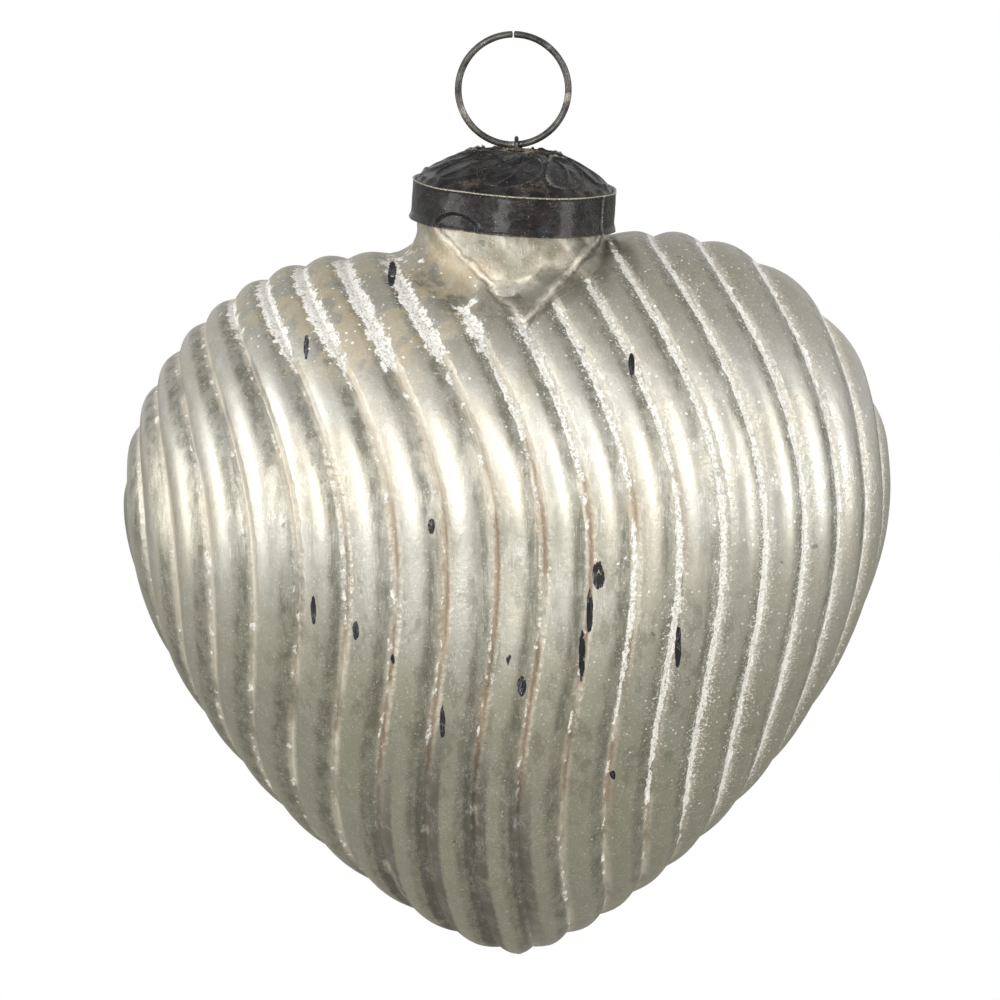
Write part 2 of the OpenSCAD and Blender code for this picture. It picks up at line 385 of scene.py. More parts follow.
def makeSilveredGlass():
    material, tree, shader, place = startMaterial("silveredGlassFinish")
    x, y, z = axes(tree, place)
    front = ramp(tree, y, 6, -6)
    line = attribute(tree, "ribLine")
    body = attribute(tree, "ribbed")
    long = placed(tree, place, stretch=(1, 1, 0.16))     # patterns drawn out along the ribs
    wobble = scaled(tree, noise(tree, place, 0.8, 3.0), 0.10, -0.05)
    bent = calc(tree, "ADD", line, wobble)
    fromGroove = times(tree, calc(tree, "PINGPONG", bent, 0.5), heart["ribPitch"])
    side = minus(tree, bent, calc(tree, "ROUND", bent))  # negative left of a groove

    # satin silver, with painted shade towards the top and the tip, and painted shade on each rib's
    # right flank
    broad = ramp(tree, noise(tree, place, 0.07, 3.0), 0.35, 0.65)
    colour = mixColour(tree, broad, glass["silver"], glass["warmSilver"])
    # painted shade: darker towards the top and the tip
    paintedDim = larger(tree, ramp(tree, z, -74, -106), ramp(tree, z, -50, -32))
    colour = mixColour(tree, times(tree, paintedDim, 0.75), colour, glass["paintedDimSilver"])
    # painted shade on the right flank of each rib, broken by streaks
    flank = times(tree, ramp(tree, side, -0.02, -0.14), ramp(tree, side, -0.48, -0.30))
    streaks = ramp(tree, noise(tree, long, 0.55, 5.0, 0.65), 0.42, 0.62)
    shade = times(tree, flank, scaled(tree, streaks, 0.6, 0.4), body, 0.85)
    colour = mixColour(tree, shade, colour, glass["shadowSilver"])
    blotch = useGroup(tree, patches, Vector=placed(tree, place, stretch=(1, 1, 0.5)),
                      Size=2.6, Cover=0.36, Softness=0.05)["Mask"]
    middleBand = scaled(tree, area(tree, x, z, *glass["streakedBand"]), 0.3, 0.1)
    colour = mixColour(tree, times(tree, blotch, middleBand), colour, glass["shadowSilver"])
    grain = noise(tree, place, 2.6, 5.0, 0.75)
    paler = mixColour(tree, 0.45, colour, glass["paleGrain"])
    colour = mixColour(tree, ramp(tree, grain, 0.55, 0.70), colour, paler)
    darker = mixColour(tree, 0.6, colour, glass["shadowSilver"])
    colour = mixColour(tree, ramp(tree, grain, 0.42, 0.26), colour, darker)

    # the bare neck is stained brown-grey, in patches with darker ragged edges
    shifted = placed(tree, place, shift=(3, 7, 1))
    neckStain = ramp(tree, noise(tree, shifted, 0.28, 6.0, 0.65), 0.36, 0.6)
    bare = minus(tree, 1.0, body)
    stained = times(tree, bare, scaled(tree, neckStain, 0.55, 0.08))
    colour = mixColour(tree, stained, colour, glass["neckStain"])
    level = noise(tree, place, 0.22, 5.0, 0.7)
    cracks = ramp(tree, absolute(tree, minus(tree, level, 0.47)), 0.022, 0.004)
    colour = mixColour(tree, times(tree, cracks, bare, 0.7), colour, glass["brown"])

    # cream film beside the grooves, brown in them
    film = times(tree, ramp(tree, fromGroove, 1.25, 0.1),
                 ramp(tree, noise(tree, long, 0.2, 3.0), 0.3, 0.55))
    colour = mixColour(tree, times(tree, film, 0.75, body), colour, glass["cream"])
    middleArea = times(tree, area(tree, x, z, *glass["brownGrooves"]), front)
    core = times(tree, ramp(tree, fromGroove, 0.62, 0.1),
                 ramp(tree, noise(tree, long, 0.3, 3.0), 0.36, 0.52))
    coreStrength = scaled(tree, middleArea, 0.7, 0.16)
    colour = mixColour(tree, times(tree, core, coreStrength, body), colour, glass["brown"])
    seepNoise = noise(tree, placed(tree, long, shift=(9, 4, 2)), 0.35, 4.0)
    seep = times(tree, ramp(tree, fromGroove, 1.7, 0.5), middleArea, ramp(tree, seepNoise, 0.5, 0.64))
    colour = mixColour(tree, times(tree, seep, 0.65), colour, glass["seep"])

    # a thin cream line round the smooth front, along the V that smoothFront cuts
    fromMiddle = absolute(tree, minus(tree, x, neck["frontPoint"][0]))
    fold = minus(tree, minus(tree, z, neck["frontPoint"][1]),
                 times(tree, fromMiddle, neck["frontSlope"]))
    fold = calc(tree, "ADD", fold, scaled(tree, noise(tree, place, 0.35, 3.0), 2.4, -1.2))
    edge = times(tree, ramp(tree, absolute(tree, fold), 0.75, 0.15), front,
                 ramp(tree, noise(tree, place, 0.9, 4.0, 0.7), 0.36, 0.5))
    colour = mixColour(tree, times(tree, edge, 0.8), colour, glass["cream"])

    # bare tan glass where the silvering has flaked on the upper left
    flakedArea = times(tree, area(tree, x, z, *glass["flakedPatch"]), front)
    flakes = useGroup(tree, patches, Vector=place, Size=5.0, Cover=0.5, Softness=0.04)["Mask"]
    flaked = times(tree, flakedArea, flakes)
    colour = mixColour(tree, times(tree, flaked, 0.42), colour, glass["ochre"])

    # frosty crust: broad ragged strips on the upper left, thin lines on the right,
    # and fine points scattered beside both
    broadArea = times(tree, area(tree, x, z, *glass["broadCrust"]), front, body)
    topArea = times(tree, area(tree, x, z, *glass["topCrust"]), 0.75)
    thinArea = times(tree, larger(tree, area(tree, x, z, *glass["lowCrust"]), topArea), body)
    offset = absolute(tree, calc(tree, "ADD", side, 0.05))
    cover = larger(tree, times(tree, broadArea, ramp(tree, offset, 0.36, 0.03)),
                   times(tree, thinArea, ramp(tree, offset, 0.15, 0.02), 0.88))
    cover = calc(tree, "ADD", cover, times(tree, ramp(tree, offset, 0.12, 0.0), body, 0.34))
    crust = useGroup(tree, patches, Vector=placed(tree, place, stretch=(1, 1, 0.5)),
                     Size=1.5, Cover=cover, Softness=0.03)["Mask"]
    frost = noise(tree, place, 2.6, 6.0, 0.8)
    crust = times(tree, crust, ramp(tree, frost, 0.36, 0.48), ramp(tree, cover, 0.05, 0.2))
    powder = calc(tree, "ADD", calc(tree, "ADD", broadArea, thinArea), 0.12)
    powder = times(tree, powder, ramp(tree, offset, 0.5, 0.05), body)
    powder = ramp(tree, scaled(tree, powder, 0.11, frost), 0.63, 0.68)
    crust = larger(tree, crust, times(tree, powder, 0.85))
    crustArea = larger(tree, broadArea, thinArea)
    crustColour = mixColour(tree, ramp(tree, frost, 0.4, 0.56), glass["crustShade"], glass["crust"])
    colour = mixColour(tree, times(tree, crust, 0.95), colour, crustColour)

    # grey-brown stains down the grooves near the tip
    stainArea = times(tree, area(tree, x, z, *glass["tipStains"]), front)
    stainNoise = noise(tree, placed(tree, place, stretch=(1, 1, 0.3)), 0.25, 5.0, 0.6)
    stain = times(tree, stainArea, ramp(tree, absolute(tree, minus(tree, side, 0.04)), 0.32, 0.2),
                  ramp(tree, stainNoise, 0.26, 0.42))
    colour = mixColour(tree, times(tree, stain, 0.8), colour, glass["stain"])

    # round grey spots, black chips drawn out along the ribs, and bright frost points
    spots = useGroup(tree, specks, Vector=place, Size=5.0, Share=0.2, Radius=0.085)["Mask"]
    colour = mixColour(tree, times(tree, spots, 0.4), colour, glass["stain"])
    ragged = noise(tree, placed(tree, place, turn=(0, -8, 0), stretch=(1, 1, 0.4)), 1.3, 5.0, 0.7)
    share = scaled(tree, area(tree, x, z, *glass["chippedBand"]), 0.10, 0.015)
    chips = useGroup(tree, specks, Vector=placed(tree, place, turn=(0, -8, 0), stretch=(1, 1, 0.35)),
                     Size=3.4, Share=share, Radius=0.13)["Mask"]
    for middle, size in glass["chipPlaces"]:
        spot = times(tree, area(tree, x, z, middle, size), front)
        chip = ramp(tree, scaled(tree, spot, 0.65, ragged), 0.98, 1.03)
        chips = larger(tree, chips, chip)
    colour = mixColour(tree, chips, colour, glass["chip"])
    green = times(tree, area(tree, x, z, *glass["greenFleck"]), front,
                  ramp(tree, ragged, 0.45, 0.55))
    colour = mixColour(tree, green, colour, glass["green"])
    glint = useGroup(tree, specks, Vector=place, Size=1.1, Share=times(tree, crustArea, 0.45),
                     Radius=0.2)["Mask"]
    colour = mixColour(tree, times(tree, glint, 0.85), colour, glass["glint"])

    lines = useGroup(tree, scratches, Vector=place, Size=1.4, Amount=0.45)["Mask"]
    colour = mixColour(tree, times(tree, lines, 0.28), colour, glass["scratch"])
    join(tree, colour, shader.inputs["Base Color"])

    # where it is dull the metal shine gives way to plain matt paint
    dull = larger(tree, times(tree, stain, 0.7), times(tree, flaked, 0.5))
    dull = larger(tree, crust, dull)
    dull = larger(tree, dull, times(tree, film, body, 0.5))
    dull = larger(tree, dull, chips)
    join(tree, mixValue(tree, dull, 0.86, 0.2), shader.inputs["Metallic"])
    rough = scaled(tree, noise(tree, place, 0.5, 4.0, 0.6), 0.2, glass["roughness"] - 0.1)
    rough = calc(tree, "ADD", rough, times(tree, minus(tree, 1.0, body), 0.05))
    join(tree, mixValue(tree, dull, rough, 0.7), shader.inputs["Roughness"])
    join(tree, mixValue(tree, dull, glass["coat"], 0.03), shader.inputs["Coat Weight"])
    shader.inputs["Coat Roughness"].default_value = 0.2
    crease = times(tree, ramp(tree, fromGroove, 0.0, 0.9, False), body)
    normal = bumped(tree, crease, 0.8, 0.4)
    foldCrease = times(tree, ramp(tree, absolute(tree, fold), 1.3, 0.0), front, -1.0)
    normal = bumped(tree, foldCrease, 0.7, 0.35, normal)
    normal = bumped(tree, times(tree, crust, scaled(tree, frost, 0.8, 0.4)), 0.7, 0.16, normal)
    dimpled = minus(tree, noise(tree, place, 1.5, 6.0, 0.72),
                    times(tree, larger(tree, chips, spots), 0.6))
    normal = bumped(tree, dimpled, 0.6, 0.11, normal)
    normal = bumped(tree, minus(tree, 1.0, lines), 0.3, 0.04, normal)
    join(tree, normal, shader.inputs["Normal"])
    return material


heart = {
    "halfWidth": 60.1, "halfDepth": 35.0,
    "lobeRise": 39.2, "lobeOffset": 22.3, "lobeTilt": 0.034, "cleft": 0.4, "crease": 3.0,
    "tipDrop": 76.2, "tipBend": 2.0, "fade": 45.0,
    "flankPowers": (1.79, 1.29), "sidePowers": (1.9, 1.6),
    "middle": (-0.95, 0.0, -70.9), "lean": 3.1,
    "ribPitch": 7.2, "ribBias": 0.045, "ribDepth": 1.0, "ribStart": -1.5,
    "ribSweep": 13.0, "ribBow": 5.6, "groovePower": 0.92,
    "unevenness": 0.07,
    "ribSteps": (0, 0.035, 0.08, 0.14, 0.21, 0.30, 0.40, 0.5, 0.60, 0.70, 0.79, 0.86, 0.92, 0.965),
    "loopSteps": 130, "endInset": 2.5, "creaseShare": 0.4, "unevenLength": 38.0,
    "patchHalf": 24.0,          # the part of the top that is meshed round the neck
}
neck = {
    "middle": (0.5, 0.0, -17.325), "lean": 3.5,
    "folds": 0.75, "frontPoint": (1.6, -41.0), "frontSlope": 0.97,
    "radius": 14.3, "bore": 12.8, "lipDrop": 5.1, "lipRound": 0.8, "bandFoot": -11.15, "fillet": 3.6,
    # radius and height down the inside of the glass, and the level that closes it
    "hollow": [(12.8, -8), (12.8, -12), (13.5, -17), (17, -23), (21, -30), (22, -38), (19, -46),
               (12, -51), (5, -52.5)],
    "hollowFoot": -52.7,
}


# How far down the taper a level is: 0 at the widest level and above, 1 at the tip
def fall(z):
    return np.clip(-z / heart["tipDrop"], 0, 0.99999)


# Half the width or depth at a level: the whole, times (1 - fall^q)^(1/p)
def halfWidth(z):
    q, p = heart["flankPowers"]
    return heart["halfWidth"] * (1 - fall(z) ** q) ** (1 / p)


def halfDepth(z):
    q, p = heart["sidePowers"]
    return heart["halfDepth"] * (1 - fall(z) ** q) ** (1 / p)


# How far out x is, from a lobe's middle (0) to the outline (1); inside the lobe's middle it counts less
def outFromLobe(x, z):
    w = halfWidth(z)
    lobe = np.minimum(heart["lobeOffset"] * ease(1 + z / heart["fade"]), w / 2)
    across = np.hypot(x, heart["crease"])
    out = (across - lobe) / (np.hypot(w, heart["crease"]) - lobe)
    return out * out * np.where(across < lobe, heart["cleft"], 1)


# Square of the half-depth at x and z: an ellipse in x out from the lobes, and in z higher up
def depthSquared(x, z):
    up = np.maximum(0, z) / heart["lobeRise"] / (1 + heart["lobeTilt"] * x / heart["halfWidth"])
    return halfDepth(z) ** 2 * (1 - outFromLobe(x, z) - up * up)


# The same surface as a height over x and y, above the widest level
def heightOver(x, y):
    inside = 1 - outFromLobe(x, np.zeros_like(x)) - (y / heart["halfDepth"]) ** 2
    rise = heart["lobeRise"] * (1 + heart["lobeTilt"] * x / heart["halfWidth"])
    return rise * np.sqrt(np.maximum(0, inside))


# Sideways shift of the rib lines with height: a parabola above the widest level, a bow below it
def sweep(z):
    above = -heart["ribSweep"] * (z / 37) ** 2
    below = -heart["ribBow"] * np.sin(np.radians(180 * z / 98)) ** 2
    return np.where(z > 0, above, below)


def quarter(z):
    return (halfWidth(z) + halfDepth(z)) * math.pi / 4


# Distance round a section from the front's middle to rib line u
def along(u, z):
    bias = np.where(u > 0, heart["ribBias"], -heart["ribBias"])
    return heart["ribStart"] + sweep(z) + u * heart["ribPitch"] / (1 + bias)


# Rib line through x at a level, by arc = A a + B sin 2a on the section's ellipse
def ribLineAt(x, z):
    w, d = halfWidth(z), halfDepth(z)
    a = np.arcsin(np.clip(x / w, -1, 1))
    arc = (w + d) / 2 * a + (w - d) / 4 * np.sin(2 * a)
    rest = arc - heart["ribStart"] - sweep(z)
    return rest * (1 + np.where(rest > 0, heart["ribBias"], -heart["ribBias"])) / heart["ribPitch"]


# x of rib line u at a level: the same formula solved by Newton's method
def ribX(u, z):
    w, d, limit = halfWidth(z), halfDepth(z), quarter(z)
    arc = np.clip(along(u, z), -limit, limit)
    a = arc / limit * math.pi / 2
    for _ in range(6):
        slope = (w + d) / 2 + (w - d) / 2 * np.cos(2 * a)
        a = a - ((w + d) / 2 * a + (w - d) / 4 * np.sin(2 * a) - arc) / slope
    return w * np.sin(a)


# The level where rib line u meets the outline, above (top) or below (tip), by halving
def outlineLevel(u, end):
    near, far = np.zeros_like(u), np.full_like(u, end)
    for _ in range(30):
        half = (near + far) / 2
        if end > 0:
            inside = depthSquared(ribX(u, half), half) > 0
        else:
            inside = np.abs(along(u, half)) < quarter(half)
        near, far = np.where(inside, half, near), np.where(inside, far, half)
    return near


# Outward direction: the slope of y^2 minus the squared half-depth
def outward(x, y, z):
    step = 0.05
    n = np.stack([depthSquared(x - step, z) - depthSquared(x + step, z), 4 * step * y,
                  depthSquared(x, z - step) - depthSquared(x, z + step)], -1)
    return n / np.linalg.norm(n, axis=-1, keepdims=True)


# 0 on a rib's crown and 1 in the groove: 1 - |sin(pi u)|^power
def groove(u):
    return 1 - np.abs(np.sin(math.pi * u)) ** heart["groovePower"]


# The smooth front below the neck, a V with its point low in the middle: z - pointZ - slope |x - pointX|
# is above 0 inside it. The first result is 1 inside, and the second is the crease along its edge.
def smoothFront(local):
    p = turnY(local, -heart["lean"], heart["middle"])
    pointX, pointZ = neck["frontPoint"]
    inside = p[..., 2] - pointZ - neck["frontSlope"] * np.abs(p[..., 0] - pointX)
    front = ease((-p[..., 1] - 3) / 6)
    return ease((inside + 0.5) / 1.4) * front, bell(inside, 0.6) * front * ease((inside + 1) / 0.5)


def makeHeart(material):
    # slices along the ribs, each a loop down the front and up the back:
    # y = the root of depthSquared, less ribDepth times the groove along the outward direction
    reach = quarter(np.zeros(1))[0] - heart["endInset"]
    first = (-reach - heart["ribStart"]) * (1 - heart["ribBias"]) / heart["ribPitch"]
    last = (reach - heart["ribStart"]) * (1 + heart["ribBias"]) / heart["ribPitch"]
    whole = np.arange(math.floor(first), math.ceil(last) + 1)
    u = (whole[:, None] + np.array(heart["ribSteps"])).ravel()
    u = np.concatenate([[first], u[(u > first + 0.03) & (u < last - 0.03)], [last]])
    steps = heart["loopSteps"]
    top, tip = outlineLevel(u, heart["lobeRise"] * 1.05), outlineLevel(u, -heart["tipDrop"])
    turn = np.linspace(0, math.pi, steps + 1)
    z = ((top + tip) / 2)[:, None] + ((top - tip) / 2)[:, None] * np.cos(turn)
    x = ribX(u[:, None], z)
    y = np.sqrt(np.maximum(0, depthSquared(x, z)))
    back = slice(steps - 1, 0, -1)
    loopX, loopZ = np.concatenate([x, x[:, back]], 1), np.concatenate([z, z[:, back]], 1)
    loopY = np.concatenate([-y, y[:, back]], 1)
    normal = outward(loopX, loopY, loopZ)
    plain = np.stack([loopX, loopY, loopZ], -1)
    smooth, crease = smoothFront(plain)
    depth = heart["ribDepth"] * (groove(u)[:, None] * (1 - smooth) + heart["creaseShare"] * crease)
    loops = plain - normal * depth[..., None]
    loops[..., 0] -= heart["tipBend"] * fall(loopZ) ** 2
    loops += normal * (heart["unevenness"] * unevenness(plain, heart["unevenLength"]))[..., None]
    count, size = loops.shape[:2]
    numbers = np.arange(count * size).reshape(count, size)

    # the block of squares that the neck's own mesh takes the place of
    overTop = x[:, 0]
    left = np.argmin(np.abs(overTop + heart["patchHalf"]))
    right = np.argmin(np.abs(overTop - heart["patchHalf"]))
    middle = (left + right) // 2
    reachY = int(np.argmin(np.abs(y[middle, :steps // 2] - heart["patchHalf"])))
    rim = ([(i, reachY) for i in range(left, right)]
           + [(right, j) for j in range(reachY, -reachY, -1)]
           + [(i, -reachY) for i in range(right, left, -1)]
           + [(left, j) for j in range(-reachY, reachY)])
    rim = np.array([numbers[i, j % size] for i, j in rim])
    cells = np.ones((count - 1, size), bool)
    cells[left:right, :reachY] = False
    cells[left:right, size - reachY:] = False
    after = np.roll(numbers, -1, axis=1)
    squares = np.stack([numbers[:-1], after[:-1], after[1:], numbers[1:]], -1)[cells]
    poles = np.stack([loops[0].mean(0), loops[-1].mean(0)])
    triangles = np.concatenate([fanFaces(numbers[0], count * size, True),
                                fanFaces(numbers[-1], count * size + 1)])

    # from the block's rim in to the neck, in the neck's own frame
    def toNeck(p):
        return turnBackY(turnY(p, -heart["lean"], heart["middle"]), neck["lean"], neck["middle"])

    def toHeart(p):
        return turnBackY(turnY(p, neck["lean"], neck["middle"]), -heart["lean"], heart["middle"])

    rimPlain = toNeck(plain.reshape(-1, 3)[rim])
    angle = np.arctan2(rimPlain[:, 1], rimPlain[:, 0])
    rimRadius = np.hypot(rimPlain[:, 0], rimPlain[:, 1])

    # where the plain heart's top lies under a point of the neck's frame, by repeated correction
    def surfaceHeight(radius):
        height = np.full(np.broadcast(radius, angle).shape, -16.0)
        for _ in range(8):
            p = toHeart(fromPolar(radius, angle, height))
            height = height + heightOver(p[..., 0], p[..., 1]) - p[..., 2]
        return height

    room = neck["bandFoot"] - surfaceHeight(16.0)
    foot = neck["radius"] + 0.75 + neck["fillet"] * ease((room - 0.8) / 3.5)
    share = np.linspace(1, 0, 19)[:-1, None] ** 1.15     # rim to foot
    radii = foot + (rimRadius - foot) * share
    heights = surfaceHeight(radii)
    footHeight = surfaceHeight(foot)
    slope = (footHeight - surfaceHeight(foot + 0.4)) / 0.4
    # the fillet, a Hermite curve from the foot to the wall
    w = np.linspace(0, 1, 11)[:, None]
    wide = foot - neck["radius"]
    h00, h10 = 2 * w**3 - 3 * w**2 + 1, w**3 - 2 * w**2 + w
    h01, h11 = 3 * w**2 - 2 * w**3, w**3 - w**2
    filletRadius = h00 * foot + h01 * neck["radius"] - h10 * wide * 1.4
    filletHeight = h00 * footHeight + h01 * (footHeight + wide * 1.1) + (h10 * slope + h11) * wide * 1.4
    wallTop = -neck["lipDrop"] - neck["lipRound"]
    wall = np.linspace(0, 1, 8)[1:, None]
    wallHeight = filletHeight[-1] + (wallTop - filletHeight[-1]) * wall
    lip = np.linspace(0, math.pi, 9)[1:, None]
    lipHalf = (neck["radius"] - neck["bore"]) / 2
    lipRadius = neck["radius"] - lipHalf + lipHalf * np.cos(lip)
    lipHeight = wallTop + neck["lipRound"] * np.sin(lip) + 0 * angle
    hollow = np.array(neck["hollow"])
    radii = np.concatenate([radii, filletRadius, neck["radius"] + 0 * wallHeight, lipRadius + 0 * angle,
                            hollow[:, :1] + 0 * angle])
    heights = np.concatenate([heights, filletHeight, wallHeight, lipHeight, hollow[:, 1:] + 0 * angle])
    mouth = fromPolar(radii, angle, heights)
    local = toHeart(mouth)
    bodyRows = len(share)
    lineOnSkin = ribLineAt(local[:bodyRows, :, 0], np.maximum(local[:bodyRows, :, 2], 0))
    line = np.concatenate([lineOnSkin, np.repeat(lineOnSkin[-1:], len(mouth) - bodyRows, 0)])
    strength = np.concatenate([0.35 + 0.65 * ease((radii[:bodyRows] - 17) / 6),
                               0.35 * np.linspace(1, 0, len(w))[:, None] ** 0.7 + 0 * angle,
                               np.zeros((len(mouth) - bodyRows - len(w), len(angle)))])
    bodyNormal = outward(local[..., 0], local[..., 1], np.maximum(local[..., 2], 1))
    wallNormal = toHeart(fromPolar(1.0, angle, 0.0)) - toHeart(np.zeros(3))
    wallShare = np.concatenate([np.zeros(bodyRows), np.linspace(0, 1, len(w)),
                                np.ones(len(mouth) - bodyRows - len(w))])[:, None, None]
    outwards = bodyNormal * (1 - wallShare) + wallNormal * wallShare
    outwards /= np.linalg.norm(outwards, axis=-1, keepdims=True)
    flatFront, foldCrease = smoothFront(local)
    strength = strength * (1 - flatFront)
    onBody = wallShare[..., 0] < 0.3
    fillDepth = heart["ribDepth"] * (groove(line) * strength
                                     + heart["creaseShare"] * foldCrease * onBody)
    local = local - outwards * fillDepth[..., None]
    uneven = unevenness(local, heart["unevenLength"]) * (wallShare[..., 0] < 1)
    local += outwards * (heart["unevenness"] * uneven)[..., None]

    # slanting folds round the neck: a triangle wave of the angle, leaning with the height
    folded = np.abs((4.5 * angle / math.pi + 0.11 * (heights + 14) + 0.25) % 1 - 0.5) * 2 - 0.5
    reachFold = bell(radii - neck["radius"] - 0.6, 3.2) * ease((-7.5 - heights) / 3) * (heights < -6)
    reachFold[-len(hollow) - len(lip):] = 0
    local += outwards * (neck["folds"] * folded * reachFold)[..., None]

    bottom = toHeart(np.array([[0, 0, neck["hollowFoot"]]]))
    points = np.concatenate([loops.reshape(-1, 3), poles, local[1:].reshape(-1, 3), bottom])
    offset = count * size + 2
    inner = offset + np.arange((len(local) - 1) * len(rim)).reshape(-1, len(rim))
    patch = np.concatenate([rim[None], inner])[::-1]
    squares = np.concatenate([squares, gridFaces(patch)])
    triangles = np.concatenate([triangles, fanFaces(patch[0], len(points) - 1)])
    ribLine = np.concatenate([np.repeat(u, size), [first, last], line[1:].ravel(), [0.5]])
    ribbed = np.concatenate([1 - smooth.ravel(), [1, 1],
                             np.minimum(strength[1:] * 1.2, 1).ravel(), [0]])
    points = turnY(points, -heart["lean"], heart["middle"])
    return makePiece("ribbedGlassHeart", points, squares, triangles,
                     {"ribLine": ribLine, "ribbed": ribbed},
                     material, "glass", "glass_heart")


glassFinish = makeSilveredGlass()
makeHeart(glassFinish)


# The dome of the cap, in mm below its top
dome = {
    "radius": 15.27, "rise": 5.4, "power": 2.4, "hole": 1.8, "sheet": 0.4, "skirt": 1.4,
    "leaves": 8, "swirl": 0.9, "relief": 0.58,
    # outer and inner ring: middle and half length as shares of the radius, half width as a share
    # of a leaf's turn, offset in turns, and height
    "leafRings": ((0.67, 0.28, 0.49, 0.25, 1.0), (0.34, 0.19, 0.44, 0.75, 0.6)),
}
tarnish = {
    "dark": (0.010, 0.0095, 0.011, 1), "brown": (0.022, 0.017, 0.015, 1),
    "grey": (0.075, 0.078, 0.088, 1), "wearAndHighlight": (0.46, 0.42, 0.34, 1),
    "steel": (0.10, 0.095, 0.09, 1), "rust": (0.10, 0.038, 0.02, 1),
    "dust": (0.42, 0.33, 0.22, 1),
}


# Dark tarnished metal with rust specks and patches of painted sheen, worn light and given a painted
# highlight where the raised attribute is high, and dusty where the settled attribute is high
def makeTarnishedMetal(name, base, wearAndHighlight, rustShare, grain, gloss):
    material, tree, shader, place = startMaterial(name)
    raised, settled = attribute(tree, "raised"), attribute(tree, "settled")
    cloud = noise(tree, place, 0.35, 5.0, 0.6)
    colour = mixColour(tree, ramp(tree, cloud, 0.4, 0.65), base, tarnish["brown"])
    # painted sheen: paler grey patches that stand in for reflections on the dark metal
    paintedSheen = useGroup(tree, patches, Vector=place, Size=3.0, Cover=0.35, Softness=0.1)["Mask"]
    colour = mixColour(tree, times(tree, paintedSheen, 0.35), colour, tarnish["grey"])
    fine = noise(tree, place, grain, 4.0, 0.7)
    # pale wear on the raised parts, which also stands in for a painted highlight on the ridges
    rubbedAndHighlit = calc(tree, "ADD", raised, scaled(tree, fine, 1.1, -0.55))
    rubbedAndHighlit = times(tree, ramp(tree, rubbedAndHighlit, 0.58, 0.95), wearAndHighlight)
    colour = mixColour(tree, rubbedAndHighlit, colour, tarnish["wearAndHighlight"])
    lines = useGroup(tree, scratches, Vector=placed(tree, place, turn=(0, 90, 0)), Size=1.1,
                     Amount=0.22)["Mask"]
    colour = mixColour(tree, times(tree, lines, 0.25), colour, tarnish["wearAndHighlight"])
    points = useGroup(tree, specks, Vector=place, Size=0.55, Share=0.22, Radius=0.2)["Mask"]
    colour = mixColour(tree, times(tree, points, 0.4), colour, tarnish["wearAndHighlight"])
    rust = useGroup(tree, specks, Vector=place, Size=0.8, Share=rustShare, Radius=0.24)["Mask"]
    colour = mixColour(tree, times(tree, rust, 0.8), colour, tarnish["rust"])
    dusty = times(tree, settled, ramp(tree, noise(tree, place, 1.6, 4.0, 0.7), 0.42, 0.62))
    colour = mixColour(tree, dusty, colour, tarnish["dust"])
    join(tree, colour, shader.inputs["Base Color"])
    dull = larger(tree, dusty, rust)
    join(tree, mixValue(tree, dull, 0.6, 0.05), shader.inputs["Metallic"])
    shader.inputs["Coat Weight"].default_value = gloss
    shader.inputs["Coat Roughness"].default_value = 0.12
    shader.inputs["Specular IOR Level"].default_value = 0.3
    rough = scaled(tree, fine, 0.3, 0.12)
    join(tree, mixValue(tree, dull, rough, 0.85), shader.inputs["Roughness"])
    normal = bumped(tree, fine, 0.6, 0.12)
    normal = bumped(tree, minus(tree, 1.0, lines), 0.4, 0.05, normal)
    join(tree, normal, shader.inputs["Normal"])
    return material


# Pressed leaves: two swirled rings of ovals, domed inside, with a raised rim, a bent vein
# and fine side veins. The second result is only the rims and veins, which are painted pale as wear and
# as a painted highlight.
def domeRelief(radius, angle):
    share = radius / dome["radius"]
    swirled = angle + dome["swirl"] * (share - 0.5)
    total, ridges = 0, 0
    for middle, length, width, offset, height in dome["leafRings"]:
        a = (swirled * dome["leaves"] / tau + offset) % 1 - 0.5
        b = (share - middle) / length
        away = np.hypot(a / width, b)
        inside = ease((1.0 - away) / 0.25)
        vein = bell(a + 0.16 * b * b - 0.06 * b, 0.04) * inside
        curl = bell(np.hypot((a - 0.2) / 0.16, (b + 0.35) / 0.5) - 1, 0.2) * inside
        sideVeins = np.cos(tau * (b * 1.8 - np.abs(a) * 3)) * inside * 0.06
        rim = bell(away - 0.93, 0.085)
        domed = 0.5 * np.sqrt(np.clip(1 - away**2, 0, 1))
        total = total + height * (domed + 0.7 * rim + 0.45 * vein + 0.3 * curl + sideVeins)
        # the rims are painted pale, as wear and as a painted highlight
        rimWearAndHighlight = 0.8 * rim * (0.55 + 0.45 * np.sin(angle * 2 + 5 * share))
        ridges = ridges + height * (rimWearAndHighlight + 0.6 * vein + 0.35 * curl)
    scallops = bell(share - 0.955, 0.03) * (0.45 + 0.35 * np.cos(28 * angle))
    edge = ease((share - 0.13) / 0.1) * ease((0.99 - share) / 0.04)
    return total * edge + scallops, np.clip(ridges * edge, 0, 1)


